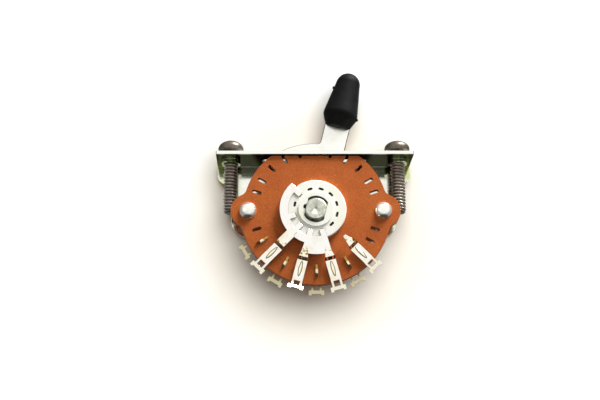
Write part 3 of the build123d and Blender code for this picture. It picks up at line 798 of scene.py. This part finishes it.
@dataclass
class Assembly:
    """Base of the sub-assemblies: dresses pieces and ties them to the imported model."""

    BODY: ClassVar[Body] = Body.FRAME

    materials: dict[Look, Material]
    lathe: TurnedRow

    def publish(self, name: str, bm: BMesh, look: Look, nodes: Sequence[str],
                sharp: float = 40.0) -> Object:
        """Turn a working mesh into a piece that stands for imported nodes.

        Args:
            name: Name of the piece.
            bm: Its working mesh, which is freed.
            look: Finish that it is dressed in.
            nodes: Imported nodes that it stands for.
            sharp: Angle in degrees from which an edge stays sharp.

        Returns:
            The piece.
        """
        mesh = plain_mesh(name, bm, sharp)
        piece = linked(name, mesh)
        mesh.materials.append(self.materials[look])
        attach(piece, self.BODY.value)
        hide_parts(*nodes)
        log.info("%s: %d faces for %s", name, len(mesh.polygons), ", ".join(nodes))
        return piece

    def refined(self, node: str, look: Look, edge: float, segments: int = 2,
                added: Optional[BMesh] = None, clamp: bool = True) -> Object:
        """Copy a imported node, join its loose triangles into whole faces and round its edges.

        Args:
            node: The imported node.
            look: Finish that it is dressed in.
            edge: Width of the rounded edge, in millimetres.
            segments: Faces across a rounded edge.
            added: A closed form to join to it, which is freed.
            clamp: Whether the rounded edge is held narrower than the shortest step of the outline.

        Returns:
            The piece.
        """
        bm = bmesh.new()
        bm.from_mesh(frame["nodes"][node].data)
        bmesh.ops.remove_doubles(bm, verts=bm.verts, dist=CAD_MERGE)
        if added is not None:
            bm = self.carved(bm, added, "UNION")
        bmesh.ops.dissolve_limit(bm, angle_limit=FLAT_WITHIN, verts=bm.verts, edges=bm.edges)
        bmesh.ops.dissolve_degenerate(bm, dist=MERGE, edges=bm.edges)
        piece = self.publish(f"{node}_piece", bm, look, [node])
        bevel = piece.modifiers.new("rounded_edges", "BEVEL")
        bevel.width = edge * MM
        bevel.segments = segments
        bevel.limit_method = "ANGLE"
        bevel.angle_limit = ROUND_FROM
        bevel.harden_normals = True
        bevel.use_clamp_overlap = clamp
        return piece

    @staticmethod
    def carved(bm: BMesh, cutter: BMesh, operation: str = "DIFFERENCE") -> BMesh:
        """Cut one closed mesh from another, or join them.

        Args:
            bm: The mesh that is worked on, which is freed.
            cutter: The other mesh, which is freed.
            operation: DIFFERENCE or UNION.

        Returns:
            The result as a working mesh.
        """
        target = linked("work", plain_mesh("work", bm))
        tool = linked("tool", plain_mesh("tool", cutter))
        boolean = target.modifiers.new("cut", "BOOLEAN")
        boolean.object = tool
        boolean.operation = operation
        boolean.solver = "EXACT"
        result = reopened(evaluated(target))
        discard(target, tool)
        return result

    @staticmethod
    def block(width: float, depth: float, height: float, taper: float = 1.0) -> BMesh:
        """Closed block on its base, as a cutter.

        Args:
            width: Size along X in millimetres.
            depth: Size along Y.
            height: Size along Z, upwards from the origin.
            taper: Scale of the base against the top.

        Returns:
            The working mesh.
        """
        bm = bmesh.new()
        bmesh.ops.create_cube(bm, size=1.0)
        for vert in bm.verts:
            scale = 1.0 if vert.co.z > 0 else taper
            vert.co = Vector((vert.co.x * width * scale, vert.co.y * depth * scale,
                              (vert.co.z + 0.5) * height)) * MM
        return bm


@dataclass
class FrameAssembly(Assembly):
    """Folded frame with its screws, spacers, rivets, bushing and detent spring."""

    crest_radius: float = 1.75
    root_radius: float = 1.33
    thread_pitch: float = 25.4 / 32
    rings_per_turn: int = 12
    screw_length: float = 15.9
    tip_chamfer: float = 0.5
    head_radius: float = 3.15
    head_height: float = 2.7
    head_rim: float = 0.7
    recess_width: float = 0.9
    recess_length: float = 3.4
    recess_depth: float = 1.4
    recess_above: float = 0.4
    recess_taper: float = 0.62
    head_foot: tuple[Range, ...] = ((0.35, 0.0), (0.12, 0.12), (0.0, 0.4))
    head_overlap: float = 0.2
    screw_turns: Range = (25.0, 62.0)
    rivet_radius: float = 1.2
    rivet_head: Range = (2.05, 1.3)
    rivet_rim: float = 0.2
    rivet_tail: Range = (1.9, 0.6)
    tail_edge: float = 0.1
    back_face: float = 5.55
    foot_rivet: Place = (0.8, 1.3, 0.5)

    def build(self) -> None:
        """Build every piece of the frame."""
        self.refined("frame_bracket", Look.FRAME, 0.08, 3)
        for side in ("left", "right"):
            self.refined(f"spacer_{side}", Look.NICKEL, 0.06)
        self.refined("shaft_bushing", Look.BRASS, 0.06)
        self.refined("detent_spring", Look.SPRING, 0.04)
        self.wafer_rivets()
        self.spring_rivets()
        self.panel_screws()

    @staticmethod
    def middle(node: str) -> Place:
        """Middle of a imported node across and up, in millimetres, with no depth."""
        low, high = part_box(node)
        return ((low.x + high.x) / 2 / MM, 0.0, (low.z + high.z) / 2 / MM)

    def rivets(self, name: str, section: Iterable[Range], look: Look, sides: int,
               nodes: Sequence[str]) -> None:
        """Turn a section into a rivet at the middle of each node, all in one piece.

        Args:
            name: Name of the piece.
            section: Distance from the axis and depth, in millimetres.
            look: Finish that it is dressed in.
            sides: Faces round each rivet.
            nodes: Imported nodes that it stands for.
        """
        bm = self.lathe.make(name, section, self.materials[look], sides, [self.middle(n) for n in nodes])
        self.publish(name, bm, look, nodes, sharp=35)

    def wafer_rivets(self) -> None:
        """Two domed rivets through the wafer, each with a rolled tail behind the frame."""
        radius, height = self.rivet_head
        tail, tail_height = self.rivet_tail
        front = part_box("stator_wafer")[0].y / MM
        cap = height - self.rivet_rim
        ball = (radius * radius + cap * cap) / (2 * cap)
        dome = arc((0, height - ball), (ball, ball), 88, math.degrees(math.acos(radius / ball)), 14)
        section = [(0.0, front - height), *((r, front - h) for r, h in dome)]
        back, shank, edge = self.back_face, self.rivet_radius, self.tail_edge
        section += [(radius, front), (shank, front), (shank, back), (tail, back)]
        section += [(r, back + h) for r, h in arc((shank, edge), (tail - shank, tail_height - edge), 0, 90, 6)]
        section.append((0.0, back + tail_height))
        self.rivets("wafer_rivets", section, Look.NICKEL, 56, ["wafer_rivet_left", "wafer_rivet_right"])

    def spring_rivets(self) -> None:
        """Two small rivets through the detent spring's foot."""
        radius, head, height = self.foot_rivet
        back = self.back_face
        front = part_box("spring_rivet_lower")[0].y / MM + height
        section = [(0.0, front - height)]
        section += [(r, front - h) for r, h in arc((0, 0), (head, height), 84, 0, 8)]
        section += [(radius, front), (radius, back), (head, back)]
        section += [(r, back + h) for r, h in arc((0, 0), (head, height), 8, 84, 8)]
        section.append((0.0, back + height))
        self.rivets("spring_rivets", section, Look.SPRING, 32, ["spring_rivet_lower", "spring_rivet_upper"])

    def head(self, name: str) -> BMesh:
        """Round screw head with its cross recess, upright on the origin.

        Args:
            name: Name of the piece.

        Returns:
            The working mesh.
        """
        dome = arc((0, self.head_rim), (self.head_radius, self.head_height - self.head_rim), 0, 87, 16)
        foot = [(self.head_radius - inset, rise) for inset, rise in self.head_foot]
        section = [(0.0, 0.0), *foot, *dome, (0.0, self.head_height)]
        bm = self.lathe.make(name, section, self.materials[Look.SCREW], 72)
        bm.transform(moved(turn=90, axis="X"))
        for turn in (0, 90):
            wing = self.block(self.recess_length, self.recess_width, self.recess_depth + self.recess_above,
                              self.recess_taper)
            bmesh.ops.recalc_face_normals(wing, faces=wing.faces)
            wing.transform(moved((0, 0, self.head_height - self.recess_depth), turn))
            bm = self.carved(bm, wing)
        return bm

    def panel_screws(self) -> None:
        """Two threaded screws with round heads."""
        shank = ThreadedShank()
        turns = self.screw_length / self.thread_pitch
        for node, turned in zip(("panel_screw_left", "panel_screw_right"), self.screw_turns):
            name = f"{node}_piece"
            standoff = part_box(node)[1].z / MM - self.head_height
            bm = shank.run(name, {
                "Length": (self.screw_length + self.head_overlap) * MM, "Crest radius": self.crest_radius * MM,
                "Root radius": self.root_radius * MM, "Pitch": self.thread_pitch * MM,
                "Chamfer": self.tip_chamfer * MM, "Sides": 36, "Rings": int(turns * self.rings_per_turn),
                "Material": self.materials[Look.SCREW],
            })
            bm.transform(moved((0, 0, -self.screw_length), 90, "X"))
            bm = self.carved(bm, self.head(name), "UNION")
            bm.transform(moved((self.middle(node)[0], 0, standoff), turned))
            self.publish(name, bm, Look.SCREW, [node], sharp=32)


@dataclass
class WaferAssembly(Assembly):
    """Laminate wafer and the eight spring contacts clinched to it."""

    contacts: tuple[str, ...] = ("common_contact", "contact_1", "contact_2", "contact_3")
    eye_half: Range = (1.9, 0.36)
    eye_point: float = 0.02
    eye_face: float = -5.75
    eye_sink: float = 0.3
    eye_wall: float = 0.08
    eye_crown: float = 0.16
    edge: float = 0.06

    def build(self) -> None:
        """Build the wafer and its contacts."""
        self.refined("stator_wafer", Look.BOARD, 0.07)
        for number, contact in enumerate(self.contacts):
            eye = self.eye(FIRST_CONTACT + number * CONTACT_PITCH)
            self.refined(f"front_{contact}", Look.FRONT_CONTACT, self.edge, added=eye)
        for contact in self.contacts:
            self.refined(f"back_{contact}", Look.BACK_CONTACT, self.edge)

    def eye(self, angle: float, steps: int = 20, lanes: int = 6) -> BMesh:
        """Raised eye of a front contact: a pointed oval that rises from the slit in its body.

        Args:
            angle: Direction of the contact round the shaft, in degrees.
            steps: Faces along the eye.
            lanes: Faces across it.

        Returns:
            The closed working mesh.
        """
        length, width = self.eye_half
        bm = bmesh.new()
        top, bottom = [], []
        for k in range(steps + 1):
            along = 2 * k / steps - 1
            half = width * max(1 - along * along, self.eye_point)
            for j in range(lanes + 1):
                across = 2 * j / lanes - 1
                rise = self.eye_wall + self.eye_crown * (1 - across * across) * (1 - along * along)
                for layer, depth in ((top, self.eye_face - rise), (bottom, self.eye_face + self.eye_sink)):
                    spot = Vector((EYE_RADIUS + along * length, depth, across * half))
                    layer.append(bm.verts.new(spot * MM))
        row = lanes + 1
        for k in range(steps):
            for j in range(lanes):
                a = k * row + j
                bm.faces.new((top[a], top[a + 1], top[a + row + 1], top[a + row]))
                bm.faces.new((bottom[a + row], bottom[a + row + 1], bottom[a + 1], bottom[a]))
        rim = [*range(lanes), *range(lanes, steps * row + lanes, row)]
        rim += [*range(steps * row + lanes, steps * row, -1), *range(steps * row, 0, -row)]
        for a, b in zip(rim, rim[1:] + rim[:1]):
            bm.faces.new((top[b], top[a], bottom[a], bottom[b]))
        bmesh.ops.recalc_face_normals(bm, faces=bm.faces)
        bm.transform(moved((0, 0, AXIS_HEIGHT), -angle, "Y"))
        return bm


@dataclass
class RotorAssembly(Assembly):
    """Rotor discs with their contact rings."""

    BODY: ClassVar[Body] = Body.LEVER

    def build(self) -> None:
        """Build the discs and the rings."""
        for disc in ("rotor_front_disc", "rotor_back_disc"):
            self.refined(disc, Look.ROTOR, 0.06)
        for ring in ("front_contact_ring", "back_contact_ring"):
            self.refined(ring, Look.RING, 0.06)


@dataclass
class LeverAssembly(Assembly):
    """Lever with its moulded tip, the shaft, the washer and the clip."""

    BODY: ClassVar[Body] = Body.LEVER

    lean: float = 14.3
    bottom: float = 23.3
    mouth: Range = (3.0, 0.5)
    mouth_round: float = 0.45
    belt: Range = (4.4, 26.7)
    belt_round: float = 0.75
    belt_steps: int = 8
    crown_radius: float = 3.05
    crown_base: float = 35.3
    tang: Range = (4.7, 33.05)
    shoulder: Range = (6.4, 23.75)
    slot_depth: float = 1.5
    nub: float = 0.38
    nub_height: float = 33.8
    nub_sink: float = 0.15

    def build(self) -> None:
        """Build every piece of the lever."""
        self.refined("lever", Look.LEVER, 0.26, 4, clamp=False)
        self.refined("switch_shaft", Look.SHAFT, 0.05)
        self.refined("thrust_washer", Look.LEVER, 0.05)
        self.refined("retaining_clip", Look.SPRING, 0.07)
        self.tip()

    def tip_section(self) -> list[Range]:
        """Half section of the moulded tip, from the mouth to the crown."""
        mouth_radius, mouth_rise = self.mouth
        belt_radius, belt_height = self.belt
        mouth_edge = Vector((mouth_radius, self.bottom + mouth_rise))
        corner = Vector((belt_radius, belt_height))
        crown = Vector((self.crown_radius, self.crown_base))
        below = (mouth_edge - corner).normalized() * self.belt_round
        above = (crown - corner).normalized() * self.belt_round
        bend = self.mouth_round
        section = [(0.0, self.bottom),
                   *arc((mouth_radius - bend, self.bottom + bend), (bend, bend), -90, -15, 5)]
        for t in (k / self.belt_steps for k in range(self.belt_steps + 1)):
            section.append(tuple(corner + below * (1 - t) ** 2 + above * t ** 2))
        section += arc((0, self.crown_base), (self.crown_radius, self.crown_radius), 0, 88, 20)
        section.append((0.0, self.crown_base + self.crown_radius))
        return section

    def tip(self) -> None:
        """Moulded tip: turned form with a slot for the tang and two moulding nubs."""
        bm = self.lathe.make("lever_tip", self.tip_section(), self.materials[Look.TIP], 96)
        bm.transform(moved(turn=90, axis="X"))
        for width, top in (self.tang, self.shoulder):
            bm = self.carved(bm, self.block(width, self.slot_depth, top))
        slope = (self.belt[0] - self.crown_radius) / (self.crown_base - self.belt[1])
        side = self.crown_radius + slope * (self.crown_base - self.nub_height)
        for across, along in ((-side, self.nub_height), (self.belt[0] - self.nub_sink, self.belt[1])):
            bead = bmesh.new()
            bmesh.ops.create_uvsphere(bead, u_segments=20, v_segments=12, radius=self.nub * MM)
            bead.transform(moved((across, 0, along)))
            bm = self.carved(bm, bead, "UNION")
        bm.transform(moved((0, 0, AXIS_HEIGHT), self.lean, "Y"))
        self.publish("lever_tip_piece", bm, Look.TIP, ["lever_tip"], sharp=34)


@dataclass
class Stage:
    """Backdrop, light and camera, which are no part of the object."""

    backdrop_y: float = 7.75
    backdrop_size: float = 700.0
    shadow_tone: Colour = (154, 132, 109)
    far_tone: Colour = (166, 154, 142)
    shadow_fade: Range = (22.0, 58.0)
    camera_place: Place = (-10.41, -260.26, -85.68)
    camera_forward: Place = (0.02628, 0.95898, 0.28229)
    clip: Range = (0.005, 20.0)
    focal_pixels: float = 1104.0
    frame_width: float = 600.0
    centre_shift: Range = (-1.5, -7.2)
    roll: float = 0.5
    sensor: float = 36.0
    panel: Place = (0.10, -0.90, 0.42)
    panel_edge: Range = (0.15, 0.68)
    panel_level: float = 1.0
    sides_level: float = 0.34
    soft_level: float = 0.31
    dark_below: Range = (-0.80, -0.55)
    dark_level: float = 0.05
    lamp_aim: Place = (0.0, 0.0, -12.0)
    switch_lamps: tuple[tuple[str, Place, float, float], ...] = (
        ("key", (230, -120, 430), 200, 7.3), ("fill", (-320, -330, 60), 300, 0.08),
        ("rear", (160, 420, 220), 300, 0.8))
    board_lamp: tuple[str, Place, float, float] = ("board_light", (56, -330, 52), 370, 8.8)
    board_colour: Place = (0.55, 0.74, 1.0)

    def build(self) -> None:
        """Build the stage."""
        bpy.context.scene.view_settings.view_transform = "Standard"
        self.camera()
        self.world()
        backdrop = self.backdrop()
        self.lamps(backdrop)

    def camera(self) -> None:
        """Camera at the photograph's viewpoint, turned so that it needs no lens shift."""
        data = bpy.data.cameras.new("camera")
        data.sensor_width = self.sensor
        data.lens = self.focal_pixels / self.frame_width * self.sensor
        data.clip_start, data.clip_end = self.clip
        cam = linked("camera", data)
        forward = Vector(self.camera_forward).normalized()
        right = forward.cross(Vector((0, 0, 1))).normalized()
        up = right.cross(forward)
        forward = forward * self.focal_pixels + right * self.centre_shift[0] + up * self.centre_shift[1]
        forward.normalize()
        right = forward.cross(up).normalized()
        up = right.cross(forward)
        lean = math.radians(self.roll)
        up, right = up * math.cos(lean) + right * math.sin(lean), right * math.cos(lean) - up * math.sin(lean)
        turn = Matrix((right, up, -forward)).transposed()
        cam.matrix_world = Matrix.Translation(Vector(self.camera_place) * MM) @ turn.to_4x4()
        bpy.context.scene.camera = cam

    def world(self) -> None:
        """Pale surroundings that are dark low down, and white where the camera sees them."""
        world = bpy.data.worlds.new("surroundings")
        world.use_nodes = True
        bpy.context.scene.world = world
        g = Graph(world.node_tree)
        g.tree.nodes.clear()
        toward = g.add("ShaderNodeTexCoord").outputs["Generated"]
        panel = g.add("ShaderNodeVectorMath", {0: toward, 1: Vector(self.panel).normalized()},
                      operation="DOT_PRODUCT").outputs["Value"]
        lit = g.spread(panel, *self.panel_edge, self.sides_level, self.panel_level)
        above = g.spread(g.axis(toward, 2), *self.dark_below, self.dark_level, 1.0)
        ray = g.add("ShaderNodeLightPath").outputs
        strength = g.add("ShaderNodeMix", {0: ray["Is Glossy Ray"], 2: self.soft_level,
                                           3: g.times(lit, above)}, data_type="FLOAT").outputs[0]
        light = g.add("ShaderNodeBackground", {"Color": (1.0, 0.99, 0.97, 1.0), "Strength": strength})
        white = g.add("ShaderNodeBackground", {"Color": (1.0, 1.0, 1.0, 1.0), "Strength": 1.0})
        mixed = g.add("ShaderNodeMixShader", {0: ray["Is Camera Ray"], 1: light.outputs[0], 2: white.outputs[0]})
        g.add("ShaderNodeOutputWorld", {0: mixed.outputs[0]})

    def backdrop(self) -> Object:
        """Board close behind the switch, seen from its front only, with a painted shadow that is darker and
        warmer round the shaft.
        """
        half = self.backdrop_size / 2
        bm = bmesh.new()
        corners = [bm.verts.new(Vector((x, self.backdrop_y, z)) * MM)
                   for x, z in ((-half, -half), (half, -half), (half, half), (-half, half))]
        bm.faces.new(corners)
        board = linked("backdrop", plain_mesh("backdrop", bm))
        board.visible_shadow = board.visible_diffuse = board.visible_glossy = False
        s = Surface("backdrop_board")
        # Painted shadow: a darker, warmer tone near the shaft, fading to the far tone
        tone = s.mix(s.spread(s.from_shaft(), *self.shadow_fade), self.shadow_tone, self.far_tone)
        matt = s.add("ShaderNodeBsdfDiffuse", {"Color": tone})
        clear = s.add("ShaderNodeBsdfTransparent")
        back = s.add("ShaderNodeNewGeometry").outputs["Backfacing"]
        mixed = s.add("ShaderNodeMixShader", {0: back, 1: matt.outputs[0], 2: clear.outputs[0]})
        s.add("ShaderNodeOutputMaterial", {"Surface": mixed.outputs[0]})
        board.data.materials.append(s.material)
        return board

    def lamp(self, name: str, place: Place, size: float, power: float,
             lights: bpy.types.Collection) -> bpy.types.AreaLight:
        """Soft lamp that points at the switch.

        Args:
            name: Name of the lamp.
            place: Where it stands, in millimetres.
            size: Width of its face, in millimetres.
            power: Its power in watts.
            lights: What it lights or leaves out.

        Returns:
            The lamp's data.
        """
        data = bpy.data.lights.new(name, "AREA")
        data.size = size * MM
        data.energy = power
        lamp = linked(name, data)
        lamp.location = Vector(place) * MM
        lamp.rotation_mode = "QUATERNION"
        lamp.rotation_quaternion = (Vector(self.lamp_aim) - Vector(place)).to_track_quat("-Z", "Y")
        lamp.light_linking.receiver_collection = lights
        return data

    def lamps(self, backdrop: Object) -> None:
        """Key, fill and rear lamps for the switch, and a round one that lights the board alone."""
        board_only, all_else = (bpy.data.collections.new(name) for name in ("board_only", "all_but_board"))
        for collection in (board_only, all_else):
            collection.objects.link(backdrop)
        all_else.collection_objects[0].light_linking.link_state = "EXCLUDE"
        for values in self.switch_lamps:
            self.lamp(*values, all_else)
        board_light = self.lamp(*self.board_lamp, board_only)
        board_light.shape = "DISK"
        board_light.color = self.board_colour


def main() -> None:
    """Build the finishes, the sub-assemblies and the stage."""
    logging.basicConfig(level=logging.INFO, format="%(name)s %(message)s")
    materials = {look: finish.build(look.value) for look, finish in FINISHES.items()}
    lathe = TurnedRow()
    for kind in (FrameAssembly, WaferAssembly, RotorAssembly, LeverAssembly):
        kind(materials, lathe).build()
    Stage().build()


if __name__ == "__main__":
    main()
